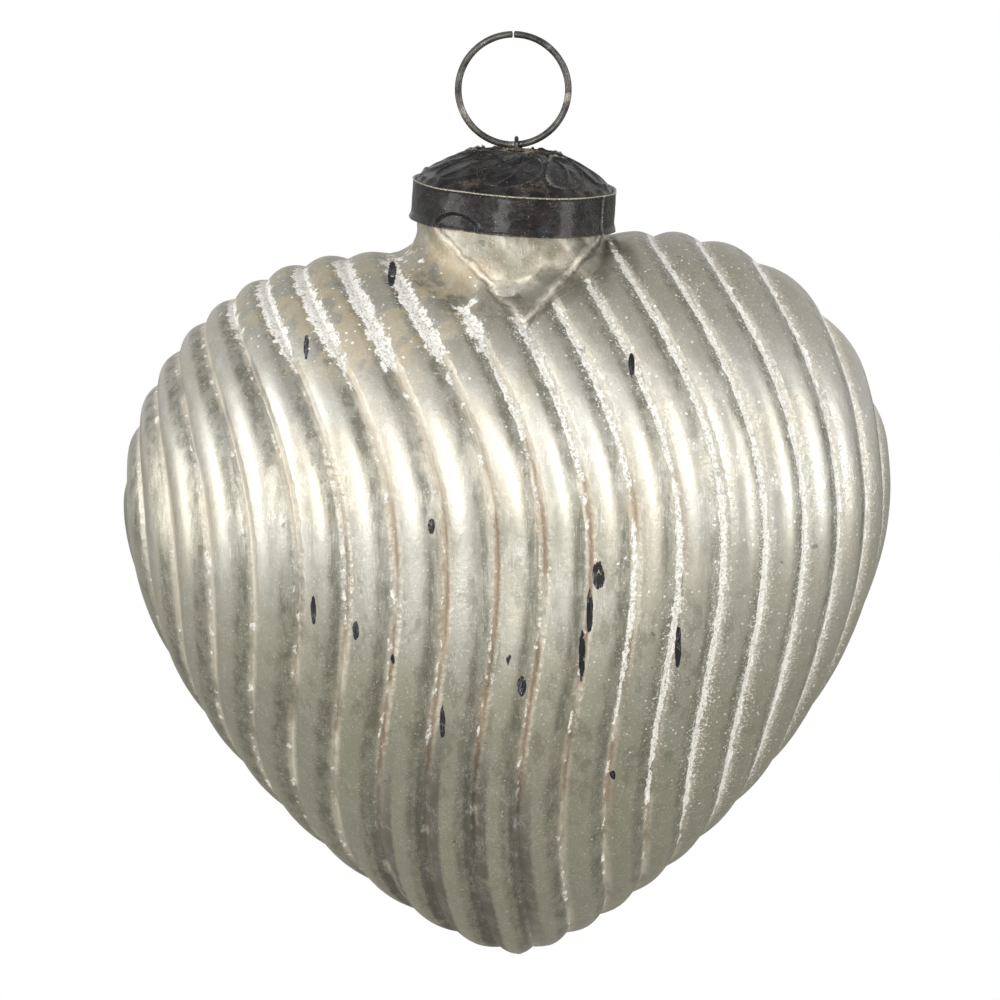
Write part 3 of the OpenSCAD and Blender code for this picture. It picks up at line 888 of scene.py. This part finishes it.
# The dome: height = -rise (distance out / radius)^power plus the relief, a skirt, and a plain underside
def makeDome(material):
    columns = 400
    angle = np.linspace(0, tau, columns, endpoint=False)[None, :]
    rings = np.linspace(dome["hole"], dome["radius"] - 0.15, 118)
    radius = np.concatenate([[dome["hole"] - 0.1], rings])[:, None]
    base = -dome["rise"] * (radius / dome["radius"]) ** dome["power"]
    relief, ridges = domeRelief(radius, angle)
    relief[0] = -0.6
    uneven = unevenness(fromPolar(radius, angle, base), 9.0, 1.0)
    height = base + dome["relief"] * relief + 0.06 * uneven
    height[0] = base[0] - 0.15
    rows = [fromPolar(radius, angle, height)]
    raised = [np.clip(ridges * 0.9 + 0.06 * uneven, 0, 1)]
    under = np.linspace(dome["radius"] - dome["sheet"] - 0.05, dome["hole"], 24)[:, None]
    edge = [(dome["radius"], -dome["rise"] - 0.15),
            (dome["radius"], -dome["rise"] - dome["skirt"]),
            (dome["radius"] - dome["sheet"], -dome["rise"] - dome["skirt"])]
    for r, h in edge:
        rows.append(fromPolar(r, angle, h))
        raised.append(np.full_like(angle, 0.3))
    lower = -dome["sheet"] - dome["rise"] * (under / dome["radius"]) ** dome["power"]
    rows.append(fromPolar(under, angle, lower - 0.02))
    raised.append(np.zeros((len(under), columns)))
    points = np.concatenate(rows)
    numbers = np.arange(len(points) * columns).reshape(len(points), columns)
    numbers = np.concatenate([numbers, numbers[:1]])
    settled = np.zeros(points.shape[:2])
    nearHole = ease((5.2 - radius) / 3.2) * (0.6 + 0.4 * np.cos(angle - 1.0))
    settled[:len(radius)] = nearHole + 0.25 * ease((0.25 - relief) / 0.3)
    points = turnY(points.reshape(-1, 3), neck["lean"], neck["middle"])
    wear = {"raised": np.concatenate(raised).ravel(), "settled": np.clip(settled, 0, 1).ravel()}
    return makePiece("embossedCapDome", points, gridFaces(numbers), [], wear,
                     material, "cap", "cap_dome")


# The collar of the cap, in mm; the seam and the pressed arch are in degrees from the front
band = {
    "radius": 15.7, "top": -5.05, "foot": -11.15, "flare": 0.25, "sheet": 0.4,
    "seam": 59, "lap": 0.22, "lapTurn": 26, "dimple": -34, "archHalf": 4.0, "archTall": 2.6,
}


# The collar: radius = the band's radius plus the lap at the seam, the flare, rolled edges and dents,
# less a pressed arch in the lower edge
def makeBand(material):
    columns = 560
    angle = np.linspace(0, tau, columns, endpoint=False)[None, :]
    fromFront = np.degrees((angle + math.pi / 2 + math.pi) % tau - math.pi)
    tall = band["top"] - band["foot"]
    w = np.linspace(0, 1, 44)[:, None]
    height = band["top"] - tall * w + 0 * angle
    fromSeam = (fromFront - band["seam"] + 180) % 360 - 180
    lap = ease(fromSeam / 1.2 + 0.5) * ease((band["lapTurn"] - fromSeam) / 8)
    aboveFoot = (1 - w) * tall
    across = (fromFront - band["dimple"]) * band["radius"] * math.pi / 180
    arch = np.hypot(across / band["archHalf"], aboveFoot / band["archTall"])
    pressed = ease((1.02 - arch) / 0.14)
    ridge = bell(arch - 1.08, 0.08)
    p = fromPolar(band["radius"], angle, height)
    dents = unevenness(p, 13.0, 2.0) + 0.4 * unevenness(p, 5.0, 5.0)
    rolled = 0.10 * bell(w - 0.02, 0.035) + 0.05 * bell(w - 0.97, 0.03)
    outer = (band["radius"] + band["lap"] * lap + band["flare"] * ease((w - 0.8) / 0.2) + rolled
             + 0.05 * dents - 0.32 * pressed + 0.12 * ridge)
    height = height + 0.05 * unevenness(p * [1, 1, 0], 17.0, 3.0)
    inner = band["radius"] - band["sheet"] + band["flare"] * ease((w - 0.8) / 0.2)
    inner = np.minimum(inner + 0 * angle, outer - 0.22)
    rows = np.concatenate([fromPolar(outer, angle, height), fromPolar(inner, angle, height)[::-2]])
    numbers = np.arange(rows.shape[0] * columns).reshape(-1, columns)
    numbers = np.concatenate([numbers, numbers[:1]])
    # the rolled edges, the seam and the arch's ridge are painted pale, as wear and as a painted
    # highlight
    edges = np.maximum(bell(w, 0.06), 0.75 * bell(w - 1.0, 0.04)) + 0 * angle
    edges = np.maximum(edges, 0.75 * bell(fromSeam - 0.5, 0.9) * np.ones_like(w))
    edges = np.maximum(edges, 0.5 * ridge)
    raised = np.concatenate([edges, np.zeros((rows.shape[0] - len(w), columns))])
    settled = np.concatenate([0.5 * bell(w - 1.0, 0.02) + 0 * angle,
                              np.zeros((rows.shape[0] - len(w), columns))])
    points = turnY(rows.reshape(-1, 3), neck["lean"], neck["middle"])
    return makePiece("capCollarStrip", points, gridFaces(numbers), [],
                     {"raised": raised.ravel(), "settled": settled.ravel()},
                     material, "cap", "cap_band")


# base colour, wear and painted highlight, share of rust specks, fineness of the grain, and gloss
finishes = {
    "tarnishedDome": ("dark", 0.85, 0.12, 3.2, 0.22),
    "tarnishedCollar": ("dark", 0.9, 0.02, 4.5, 0.22),
    "wornRingSteel": ("steel", 0.55, 0.01, 3.0, 0.15),
    "clipSteel": ("steel", 0.6, 0.01, 4.0, 0.15),
}
metals = {name: makeTarnishedMetal(name, tarnish[base], *values)
          for name, (base, *values) in finishes.items()}
makeDome(metals["tarnishedDome"])
makeBand(metals["tarnishedCollar"])


wireSides = 20


# A round wire along a path that lies in one plane: circles across the path, with domed ends
def makeWire(name, path, across, radius, values, material, body, node):
    ahead = np.gradient(path, axis=0)
    ahead /= np.linalg.norm(ahead, axis=1, keepdims=True)
    bulge = np.linspace(0, math.pi / 2, 6)[:-1]
    start = path[0] - ahead[0] * radius * 0.3 * np.sin(bulge[::-1])[:, None]
    end = path[-1] + ahead[-1] * radius * 0.3 * np.sin(bulge)[:, None]
    line = np.concatenate([start[:-1], path, end[1:]])
    ahead = np.concatenate([np.repeat(ahead[:1], 4, 0), ahead, np.repeat(ahead[-1:], 4, 0)])
    thick = np.concatenate([np.cos(bulge[::-1])[:-1], np.ones(len(path)), np.cos(bulge)[1:]]) * radius
    out = np.cross(across, ahead)
    a = np.linspace(0, tau, wireSides, endpoint=False)
    drawn = np.sin(np.arange(len(line)) * 0.31)[:, None] * np.sin(a * 2 + 0.5)
    thick = thick[:, None] * (1 + 0.03 * drawn)
    circle = (np.cos(a)[None, :, None] * out[:, None]
              + np.sin(a)[None, :, None] * np.array(across))
    rings = line[:, None] + thick[..., None] * circle
    ends = np.stack([line[0] - ahead[0] * radius * 0.02, line[-1] + ahead[-1] * radius * 0.02])
    numbers = np.arange(rings.shape[0] * len(a)).reshape(-1, len(a))
    points = np.concatenate([rings.reshape(-1, 3), ends])
    triangles = np.concatenate([fanFaces(numbers[0], len(points) - 2),
                                fanFaces(numbers[-1], len(points) - 1, True)])
    shown = {label: np.concatenate([np.repeat(value, len(a)), value[:1], value[-1:]])
             for label, value in values(line).items()}
    return makePiece(name, points, gridFaces(numbers), triangles, shown, material, body, node)


# How rubbed a wire is along its line; no dust settles on it
def wireWear(line, middle, wavelength, seed):
    return {"raised": middle + middle * unevenness(line, wavelength, seed),
            "settled": np.zeros(len(line))}


# The ring, in mm
ring = {"wire": 1.05, "radius": 8.45, "gap": 0.12}


# The ring: a circle from one side of the gap at the top round to the other
def makeRing(material):
    radius = ring["radius"]
    middle = ringHigh[2] - radius - ring["wire"] / 2
    cut = (ring["gap"] / 2 + ring["wire"] * 0.16) / radius
    a = np.linspace(cut, tau - cut, 220)
    path = np.stack([radius * np.sin(a), 0 * a, middle + radius * np.cos(a)], -1)
    makeWire("splitHangingRing", path, (0.0, 1.0, 0.0), ring["wire"] / 2,
             lambda line: wireWear(line, 0.35, 6.0, 4.0),
             material, "ring", "hanging_ring")


# The clip, in mm
clip = {
    "wire": 0.64, "slack": 0.2, "loopLift": 0.95,
    # below the loop's middle, where the legs start to spread; below the dome's top, where they are
    # widest, clear of the glass, and where they end
    "legTop": 2.55, "legWidest": 16.8, "legFoot": 19.0, "footInset": 0.9,
}


# The clip: a half circle over the ring wire and two legs that spread below the dome,
# its corners rounded by averaging
def makeClip(material):
    x = neck["middle"][0]
    reach = clipHigh[1] - clip["wire"] / 2
    loop = ring["wire"] / 2 + clip["slack"] + clip["wire"] / 2
    top = neck["middle"][2]
    pin = top + clip["loopLift"]
    a = np.linspace(0, math.pi, 40)
    leg = np.array([(loop, pin - clip["legTop"]), (reach, top - clip["legWidest"]),
                    (reach - clip["footInset"], top - clip["legFoot"])])
    right = np.concatenate([np.linspace((loop, pin), leg[0], 24),
                            np.linspace(leg[0], leg[1], 60)[1:],
                            np.linspace(leg[1], leg[2], 20)[1:]])
    left = right[::-1] * [-1, 1]
    bend = np.stack([-loop * np.cos(a), pin + loop * np.sin(a)], -1)[1:-1]
    corners = np.concatenate([left, bend, right])
    spacing = np.concatenate([[0], np.cumsum(np.linalg.norm(np.diff(corners, axis=0), axis=1))])
    even = np.linspace(0, spacing[-1], 420)
    path = np.stack([np.interp(even, spacing, corners[:, k]) for k in (0, 1)], -1)
    for _ in range(3):
        path[2:-2] = (path[:-4] + 2 * path[1:-3] + 3 * path[2:-2] + 2 * path[3:-1] + path[4:]) / 9
    path = np.stack([np.full(len(path), x), path[:, 0], path[:, 1]], -1)
    makeWire("springClipWire", path, (-1.0, 0.0, 0.0), clip["wire"] / 2,
             lambda line: wireWear(line, 0.3, 5.0, 7.0),
             material, "clip", "hanger_clip")


makeRing(metals["wornRingSteel"])
makeClip(metals["clipSteel"])


# The camera, the floor and the lights: metres, degrees and watts
studio = {
    "floorDrop": -0.30, "floorSize": 6.0, "floorColour": (0.42, 0.42, 0.38, 1),
    "cameraElevation": 12.0, "cameraDistance": 0.5887, "aim": (-0.00204, 0.0, -0.07229),
    "lens": 135.0, "sensor": 36.0,
    "background": 1.0,
    "horizon": 0.64, "overhead": 0.60, "below": 0.37,
    # each light's place, its width and height, and its power
    "lights": {
        "frontSoftbox": ((-0.18, -0.93, 0.13), (0.28, 0.62), 4.8),
        "leftSoftbox": ((-0.95, -0.30, 0.0), (0.35, 0.9), 6.0),
        "rightSoftbox": ((0.85, -0.45, 0.0), (0.30, 0.9), 5.4),
    },
}


# A pale floor: white to the camera, and matt in the reflections
def makeFloor():
    half = studio["floorSize"] / 2
    mesh = bpy.data.meshes.new("floor")
    corners = ((-half, -half), (half, -half), (half, half), (-half, half))
    mesh.from_pydata([(x, y, studio["floorDrop"]) for x, y in corners], [], [(0, 1, 2, 3)])
    floor = bpy.data.objects.new("floor", mesh)
    scene.collection.objects.link(floor)
    material = bpy.data.materials.new("paleFloor")
    material.use_nodes = True
    tree = material.node_tree
    tree.nodes.clear()
    light, matt = tree.nodes.new("ShaderNodeEmission"), tree.nodes.new("ShaderNodeBsdfDiffuse")
    matt.inputs["Color"].default_value = studio["floorColour"]
    mixed = tree.nodes.new("ShaderNodeMixShader")
    output = tree.nodes.new("ShaderNodeOutputMaterial")
    path = tree.nodes.new("ShaderNodeLightPath")
    tree.links.new(path.outputs["Is Camera Ray"], mixed.inputs[0])
    tree.links.new(matt.outputs[0], mixed.inputs[1])
    tree.links.new(light.outputs[0], mixed.inputs[2])
    tree.links.new(mixed.outputs[0], output.inputs[0])
    mesh.materials.append(material)


# White to the camera; for the reflections, brightest at the horizon and dimmer above and below
def makeWorld():
    world = bpy.data.worlds.new("studioWorld")
    scene.world = world
    world.use_nodes = True
    tree = world.node_tree
    tree.nodes.clear()
    coordinates = tree.nodes.new("ShaderNodeTexCoord")
    z = axes(tree, coordinates.outputs["Generated"])[2]
    up = ramp(tree, z, 0.35, 0.85)
    down = ramp(tree, z, -0.25, -0.7)
    level = mixValue(tree, up, studio["horizon"], studio["overhead"])
    level = mixValue(tree, down, level, studio["below"])
    path = tree.nodes.new("ShaderNodeLightPath")
    level = mixValue(tree, path.outputs["Is Camera Ray"], level, studio["background"])
    shade = tree.nodes.new("ShaderNodeBackground")
    shade.inputs["Color"].default_value = (1, 1, 1, 1)
    join(tree, level, shade.inputs["Strength"])
    output = tree.nodes.new("ShaderNodeOutputWorld")
    tree.links.new(shade.outputs[0], output.inputs[0])


# An oblong area light at a place, facing the target
def makeLight(name, place, target, size, power):
    data = bpy.data.lights.new(name, "AREA")
    data.shape, data.size, data.size_y, data.energy = "RECTANGLE", size[0], size[1], power
    light = bpy.data.objects.new(name, data)
    scene.collection.objects.link(light)
    light.location = place
    away = np.array(place) - np.array(target)
    flat = math.hypot(away[0], away[1])
    light.rotation_euler = (math.pi / 2 - math.atan2(away[2], flat), 0, math.atan2(away[0], -away[1]))


makeFloor()
makeWorld()
aim = studio["aim"]
for name, (lightPlace, size, power) in studio["lights"].items():
    makeLight(name, lightPlace, aim, size, power)

cameraData = bpy.data.cameras.new("camera")
cameraData.lens, cameraData.sensor_width = studio["lens"], studio["sensor"]
camera = bpy.data.objects.new("camera", cameraData)
scene.collection.objects.link(camera)
tilt = math.radians(studio["cameraElevation"])
away = studio["cameraDistance"]
camera.location = (aim[0], -away * math.cos(tilt), aim[2] + away * math.sin(tilt))
camera.rotation_euler = (math.pi / 2 - tilt, 0, 0)
scene.camera = camera
scene.view_settings.view_transform = "Standard"
print("stage and camera made")
